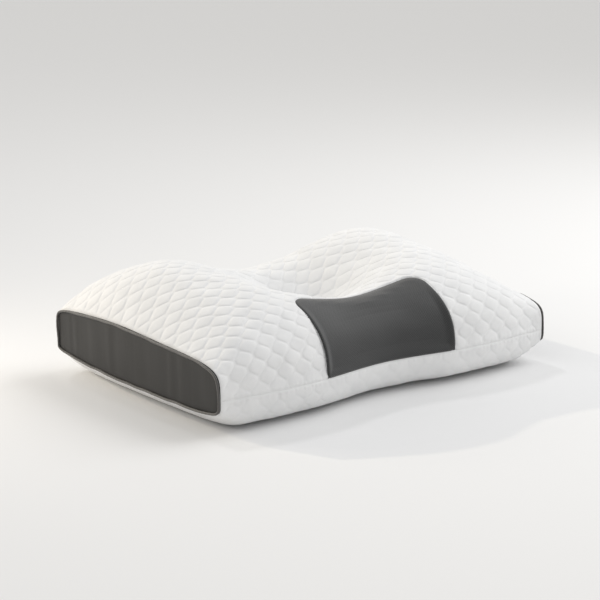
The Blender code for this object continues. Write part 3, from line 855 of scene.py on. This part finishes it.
def end_loop(inset, count):
    """Points evenly spaced round the end's outline, and their distances along it."""
    angles = np.linspace(0, 2 * math.pi, 3601)
    points = skin(np.full(len(angles), HALF_LENGTH), angles, inset)
    along = np.concatenate([[0], np.cumsum(np.linalg.norm(np.diff(points, axis=0), axis=1))])
    at = np.interp(np.arange(count) / count * along[-1], along, angles)
    return skin(np.full(count, HALF_LENGTH), at, inset), np.arange(count) / count * along[-1]


def end_grid(columns=181, rows=49):
    """Points inside the end panel's outline, in columns along y, and how far each is inside."""
    loop, _ = end_loop(END_INSET, 1200)
    over = loop[loop[:, 2] >= SEAM_HEIGHT]
    under = loop[loop[:, 2] <= SEAM_HEIGHT]
    over, under = over[np.argsort(over[:, 1])], under[np.argsort(under[:, 1])]
    low, high = loop[:, 1].min(), loop[:, 1].max()
    turn = np.linspace(-math.pi / 2, math.pi / 2, columns)
    y = (low + high) / 2 + (high - low) / 2 * np.sin(turn)
    share = 0.5 - 0.5 * np.cos(np.linspace(0, math.pi, rows))
    z_low = np.interp(y, under[:, 1], under[:, 2])
    z_high = np.interp(y, over[:, 1], over[:, 2])
    ys = y[:, None] + 0 * share[None, :]
    zs = z_low[:, None] + (z_high - z_low)[:, None] * share[None, :]
    gaps = [np.hypot(ys - p[1], zs - p[2]) for p in loop[::3]]
    return ys, zs, np.minimum.reduce(gaps)


def simulate_end(ys, zs):
    """The panel's bulge, 0 to 1. In fact 0 all over: pressure doesn't move this flat sheet."""
    n, m = ys.shape
    points = np.stack([0 * ys, ys, zs], -1).reshape(-1, 3)
    faces = [
        (i * m + j, (i + 1) * m + j, (i + 1) * m + j + 1, i * m + j + 1)
        for i in range(n - 1) for j in range(m - 1)
    ]
    pinned = [
        i * m + j for i in range(n) for j in range(m) if i in (0, n - 1) or j in (0, m - 1)
    ]
    moved = simulate_cloth("end_cloth", points, faces, pinned, END_STRETCH)
    out = abs(moved[:, 0]).reshape(n, m)
    return out / max(out.max(), 1e-9)


def make_end_panel(name, sign, bulge, ys, zs, inside):
    lift = END_BULGE * bulge + 0.0012 * (1 - np.exp(-inside / 0.0018)) * ease(inside / 0.001)
    upright = 0.00022 * np.sin(2 * math.pi * (ys / 0.047 + 0.5 * waves(ys, 0 * zs, 21)))
    lift = lift + (upright + 0.0004 * waves(ys, zs, 22 + sign)) * ease(inside / 0.012)
    points = np.stack([sign * (END_EDGE_X + lift), ys, zs], -1)
    return grid_mesh(name, points, "end_satin", flip=sign < 0)


def tube(name, path, radius, finish, sides=12, closed=True):
    """A tube along a path, kept upright; radius may vary along it."""
    path = np.asarray(path)
    ahead = np.roll(path, -1, axis=0) - np.roll(path, 1, axis=0)
    if not closed:
        ahead[0], ahead[-1] = path[1] - path[0], path[-1] - path[-2]
    ahead /= np.linalg.norm(ahead, axis=1, keepdims=True)
    axis = np.array([1.0, 0.0, 0.0]) if closed else np.array([0.0, 0.0, 1.0])
    side = np.cross(ahead, axis)
    side /= np.linalg.norm(side, axis=1, keepdims=True)
    other = np.cross(ahead, side)
    turn = np.arange(sides) / sides * 2 * math.pi
    radius = np.broadcast_to(radius, (len(path),))[:, None, None]
    turn = turn[None, :, None]
    ring = side[:, None] * np.cos(turn) + other[:, None] * np.sin(turn)
    points = path[:, None] + ring * radius
    if closed:
        points = np.concatenate([points, points[:1]])
    piece = grid_mesh(name, points, finish, close=True)
    merge_points(piece.data, 1e-6, fill=not closed)
    piece.data.shade_smooth()
    return piece


def make_piping(name, sign):
    """The covered cord round an end, swaying a little."""
    loop, along = end_loop(PIPING_INSET - 0.0002, 640)
    length = along[-1] + along[1]
    phase = 2 * math.pi * along / length
    sway = 0.0004 * np.sin(9 * phase + sign) + 0.0003 * np.sin(23 * phase + 2 * sign)
    loop[:, 0] = sign * (PIPING_X - 0.0004 + sway)
    loop[:, 2] += 0.0003 * np.sin(14 * phase)
    radius = PIPING_RADIUS * 0.78 + 0.00008 * np.sin(120 * phase)
    return tube(name, loop, radius, "piping_cord")


# The zip, along the back seam's arc.


def on_back_arc(turn, out, z):
    """Points along the back seam's arc, some way out from it."""
    radius = ARC_RADIUS - out
    y = WAIST_HALF_DEPTH + ARC_RADIUS - radius * np.cos(turn)
    return np.stack([radius * np.sin(turn) + 0 * z, y + 0 * z, z + 0 * turn], -1)


# The tape's front from the teeth outwards: distance from the seam, and height off its arc.
TAPE_PROFILE = (
    (0.0005, -0.0012), (0.0018, -0.0011), (0.0026, -0.0006), (0.0030, 0.0002),
    (0.0036, 0.0006), (0.0045, 0.0006), (0.0053, 0.0005), (0.0056, 0.0002),
    (0.0059, 0.0003), (0.0075, 0.0003), (0.0095, 0.0003), (0.0112, 0.0002),
    (0.0124, 0.0), (0.0138, -0.0014),
)


def make_tape(name, sign):
    """A woven tape that runs behind the coil, thicker and ribbed where the coil is sewn on."""
    turn = np.linspace(-1, 1, 241)[:, None] * math.asin(TAPE_HALF_LENGTH / ARC_RADIUS)
    reach, ridge = np.array(TAPE_PROFILE).T[:, None, :]
    ribs = (reach < 0.0055) * (reach > 0.0028)
    out = ridge + 0.00012 * np.sin(turn * 2200) * ribs
    front = on_back_arc(turn, out - 0.0002, SEAM_HEIGHT + sign * reach)
    rear = on_back_arc(turn, np.minimum(ridge, 0) - 0.0005, SEAM_HEIGHT + sign * reach)
    points = np.concatenate([front, rear[:, ::-1]], axis=1)
    return grid_mesh(name, points, "zip_tape", close=True, flip=sign < 0)


def make_coil(name, sign):
    """A spiral of nylon, its turns set half a pitch from the other row's."""
    pitch, per_turn = 0.0012, 10
    turns = int(2 * COIL_HALF_LENGTH / pitch)
    k = np.arange(turns * per_turn + 1)
    angle = 2 * math.pi * k / per_turn
    along = -COIL_HALF_LENGTH + 2 * COIL_HALF_LENGTH * k / k[-1] + (sign < 0) * pitch / 2
    out = 0.0008 * np.cos(angle)
    z = SEAM_HEIGHT + sign * (0.0016 + 0.00135 * np.sin(angle))
    path = on_back_arc(np.arcsin(along / ARC_RADIUS), out, z)
    return tube(name, path, 0.00027, "zip_nylon", sides=5, closed=False)


def make_stitches(name, places, normals, directions, length, width, finish):
    """Short rounded stitches, each a squashed ball."""
    steps, around = 5, 6
    lat = np.linspace(0, math.pi, steps)
    lon = np.arange(around) / around * 2 * math.pi
    unit = np.stack([
        np.cos(lat)[:, None] + 0 * lon[None, :],
        np.sin(lat)[:, None] * np.cos(lon)[None, :],
        np.sin(lat)[:, None] * np.sin(lon)[None, :],
    ], -1)
    sides = np.cross(normals, directions)
    mesh, faces, points = bpy.data.meshes.new(name), [], []
    for p, n, d, s in zip(places, normals, directions, sides):
        first = len(points)
        ball = (p + unit[..., :1] * d * length / 2 + unit[..., 1:2] * s * width / 2
                + unit[..., 2:] * n * width / 2)
        points += [tuple(q) for q in ball.reshape(-1, 3)]
        for i in range(steps - 1):
            for j in range(around):
                a, b = first + i * around, first + (i + 1) * around
                faces.append((a + j, b + j, b + (j + 1) % around, a + (j + 1) % around))
    mesh.from_pydata(points, [], faces)
    merge_points(mesh, 1e-7)
    return add_piece(name, mesh, finish)


def make_zip_topstitch():
    """Two rows of stitches that hold the covers to the tapes."""
    places, normals, directions = [], [], []
    for side in (TOP, UNDER):
        x = np.arange(-0.1535, 0.1536, 0.0031)
        off = ZIP_HALF_HEIGHT + 0.0022
        total = side.length(x)
        t = (total - off) / total
        lift = cover_offsets(x, t, total - off, off + 0 * x, side)
        normal = side.normal(x, t)
        places.append(side.point(x, t) + normal * (lift + 0.0001)[:, None])
        normals.append(normal)
        ahead = side.point(x + 0.001, t) - side.point(x - 0.001, t)
        directions.append(ahead / np.linalg.norm(ahead, axis=1, keepdims=True))
    return make_stitches(
        "zip_topstitch", np.concatenate(places), np.concatenate(normals),
        np.concatenate(directions), 0.0024, 0.0006, "white_thread",
    )


def make_label():
    """A blank satin tab, folded over and curling a little at its foot."""
    ts = np.linspace(0, 1, 25)
    xs = LABEL_X + LABEL_HALF_WIDTH * np.linspace(-0.98, 0.98, 25)
    out = 0.0007 + 0.0016 * ts**2 + 0.0003 * np.sin(ts * 9)
    y = half_depth(xs, True)[:, None]
    curl = 0.0005 * np.sin((xs[:, None] - LABEL_X) / LABEL_HALF_WIDTH * 2.2) * ts[None, :]
    z = SEAM_HEIGHT - 0.0008 - LABEL_LENGTH * 0.985 * ts[None, :] + 0 * y
    outer = np.stack([xs[:, None] + 0 * z, y + out[None, :] + 0.0004 + curl, z], -1)
    inner = np.stack([xs[:, None] + 0 * z, y + out[None, :] + curl, z], -1)
    points = np.concatenate([outer, inner[:, ::-1]], axis=1)
    return grid_mesh("care_label_tab", points, "label_satin", close=True)


# The core inside the covers.


def cad_copy(node_name, name, finish):
    """A new piece with a copy of a CAD node's mesh."""
    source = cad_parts[node_name]
    mesh = source.data.copy()
    mesh.name = name
    return add_piece(name, mesh, finish)


def apply_modifiers(piece):
    graph = bpy.context.evaluated_depsgraph_get()
    mesh = bpy.data.meshes.new_from_object(piece.evaluated_get(graph))
    old = piece.data
    piece.modifiers.clear()
    piece.data = mesh
    bpy.data.meshes.remove(old)


def crumple(piece, amount, length, seed):
    """Moves points along their normals by a smooth field."""
    mesh = piece.data
    count = len(mesh.vertices)
    points, normals = np.empty(count * 3, np.float32), np.empty(count * 3, np.float32)
    mesh.vertices.foreach_get("co", points)
    mesh.vertex_normals.foreach_get("vector", normals)
    points, normals = points.reshape(-1, 3), normals.reshape(-1, 3)
    field = waves(points[:, 0] + 0.7 * points[:, 2], points[:, 1] - 0.4 * points[:, 2], seed,
                  longest=length, shortest=length / 6)
    points = points + normals * (amount * (field - 1.0))[:, None]
    mesh.vertices.foreach_set("co", points.astype(np.float32).ravel())
    mesh.update()


def make_fill(node_name, seed):
    """Loose fibre: the room's CAD solid remeshed, rounded off and made lumpy."""
    fill = cad_copy(node_name, node_name + "_fibre", "fibre_fill")
    remesh = fill.modifiers.new("remesh", "REMESH")
    remesh.mode, remesh.voxel_size = "VOXEL", 0.006
    smooth = fill.modifiers.new("smooth", "SMOOTH")
    smooth.factor, smooth.iterations = 0.5, 8
    apply_modifiers(fill)
    crumple(fill, 0.0012, 0.05, seed)
    fill.data.shade_smooth()
    return fill


def make_core_cloth(node_name):
    """The lining's cloth: the CAD solid in finer faces."""
    cloth = cad_copy(node_name, node_name + "_cloth", "core_cloth")
    finer = cloth.modifiers.new("finer", "SUBSURF")
    finer.subdivision_type, finer.levels, finer.render_levels = "SIMPLE", 1, 1
    apply_modifiers(cloth)
    cloth.data.shade_flat()
    return cloth


# Every piece, on its body.

top_cover = place(make_cover("top_cover_quilt", TOP),
                  "pillow", "quilted_knit", "top_cover")
bottom_cover = place(make_cover("bottom_cover_quilt", UNDER),
                     "pillow", "quilted_knit", "bottom_cover")
neck_panel = place(make_neck_panel(), "pillow", "neck_mesh", "neck_panel")

end_ys, end_zs, end_inside = end_grid()
end_bulge = simulate_end(end_ys, end_zs)
for end_side, end_sign in (("left", -1), ("right", 1)):
    panel = make_end_panel(
        f"{end_side}_end_satin", end_sign, end_bulge, end_ys, end_zs, end_inside
    )
    place(panel, "pillow", "end_satin", f"{end_side}_end_panel")
    place(make_piping(f"{end_side}_piping_cord", end_sign), "pillow", "piping_cord",
          f"{end_side}_piping")

for zip_side, zip_sign in (("upper", 1), ("lower", -1)):
    tape = place(make_tape(f"zip_{zip_side}_tape_weave", zip_sign), "pillow", "zip_tape",
                 f"zip_{zip_side}_tape")
    place(make_coil(f"zip_{zip_side}_coil_teeth", zip_sign), "pillow", "zip_nylon",
          f"zip_{zip_side}_coil")
place(make_zip_topstitch(), "pillow", "zip_tape")
label = place(make_label(), "pillow", "label_satin", "care_label")

for metal in ("zip_closed_stop", "zip_open_stop", "zip_slider", "zip_pull"):
    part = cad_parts[metal]
    for slot in part.material_slots:
        slot.material = MATERIALS["zip_metal"]
    edges = part.modifiers.new("edges", "BEVEL")
    edges.width, edges.segments, edges.limit_method = 0.00018, 2, "ANGLE"

for number, fill_name in enumerate(
    ("left_wing_fill", "right_wing_fill", "neck_roll_fill", "head_cradle_fill", "crown_roll_fill")
):
    fill = place(make_fill(fill_name, 40 + number), "pillow", "fibre_fill", fill_name)

# Each lining piece, its flat size, and the share of that rectangle that its cut covers.
CORE_CLOTHS = {
    "core_top": (0.600, 0.560, 1.0), "core_bottom": (0.600, 0.480, 1.0),
    "core_left_end": (0.410, 0.105, 0.9), "core_right_end": (0.410, 0.105, 0.9),
    "left_partition": (0.410, 0.150, 0.85), "right_partition": (0.410, 0.150, 0.85),
    "front_partition": (0.240, 0.120, 0.9), "back_partition": (0.240, 0.120, 0.9),
}
for cloth_name, (width, length, share) in CORE_CLOTHS.items():
    cloth = place(make_core_cloth(cloth_name), "pillow", "core_cloth", cloth_name)


# Camera, lights and floor.

CAMERA_AZIMUTH, CAMERA_ELEVATION = math.radians(-37.35), math.radians(13.75)
CAMERA_TARGET, CAMERA_DISTANCE = Vector((0.0078, 0.0166, 0.1039)), 2.9286
CAMERA_ROLL, CAMERA_FIELD = math.radians(-0.63), math.radians(18)


def make_camera():
    camera = link(bpy.data.objects.new("camera", bpy.data.cameras.new("camera")))
    a, e = CAMERA_AZIMUTH, CAMERA_ELEVATION
    back = Vector((math.sin(a) * math.cos(e), -math.cos(a) * math.cos(e), math.sin(e)))
    camera.location = CAMERA_TARGET + back * CAMERA_DISTANCE
    turn = (-back).to_track_quat("-Z", "Y")
    camera.rotation_mode = "QUATERNION"
    turn.rotate(Quaternion(back, CAMERA_ROLL))
    camera.rotation_quaternion = turn
    camera.data.angle = CAMERA_FIELD
    camera.data.clip_end = 200
    bpy.context.scene.camera = camera


def add_light(name, kind, energy, colour, direction, distance=3.0, size=1.0, angle=0.01):
    """A light that shines on the pillow from a direction."""
    data = bpy.data.lights.new(name, kind)
    data.energy, data.color = energy, colour
    if kind == "AREA":
        data.shape, data.size = "DISK", size
    if kind == "SUN":
        data.angle = angle
    light = link(bpy.data.objects.new(name, data))
    way = Vector(direction).normalized()
    light.location = Vector((0, 0, 0.08)) + way * distance
    light.rotation_mode = "QUATERNION"
    light.rotation_quaternion = (-way).to_track_quat("-Z", "Y")


def make_stage():
    floor_material, _, shader = new_material("floor", (0.80, 0.80, 0.80), 0.9, specular=0.2)
    mesh = bpy.data.meshes.new("floor")
    reach = 60.0
    mesh.from_pydata(
        [(-reach, -reach, 0), (reach, -reach, 0), (reach, reach, 0), (-reach, reach, 0)],
        [], [(0, 1, 2, 3)],
    )
    mesh.materials.append(floor_material)
    link(bpy.data.objects.new("floor", mesh))

    world = bpy.data.worlds.new("studio")
    bpy.context.scene.world = world
    world.use_nodes = True
    background = world.node_tree.nodes["Background"]
    background.inputs["Color"].default_value = (1, 1, 1, 1)
    background.inputs["Strength"].default_value = 0.62
    add_light("key", "SUN", 0.75, (1.0, 0.90, 0.72), (-0.36, 0.84, 0.40), angle=0.02)
    add_light("left", "AREA", 1.6, (1.0, 0.90, 0.76), (-0.80, 0.55, 0.26),
              distance=0.95, size=0.3)
    add_light("back", "SUN", 0.35, (1.0, 1.0, 1.0), (0.10, 0.62, 0.78), angle=0.12)
    add_light("fill", "AREA", 34.0, (1.0, 1.0, 1.0), (0.80, -0.25, 0.75),
              distance=2.6, size=2.4)
    bpy.context.scene.view_settings.view_transform = "Standard"


make_camera()
make_stage()
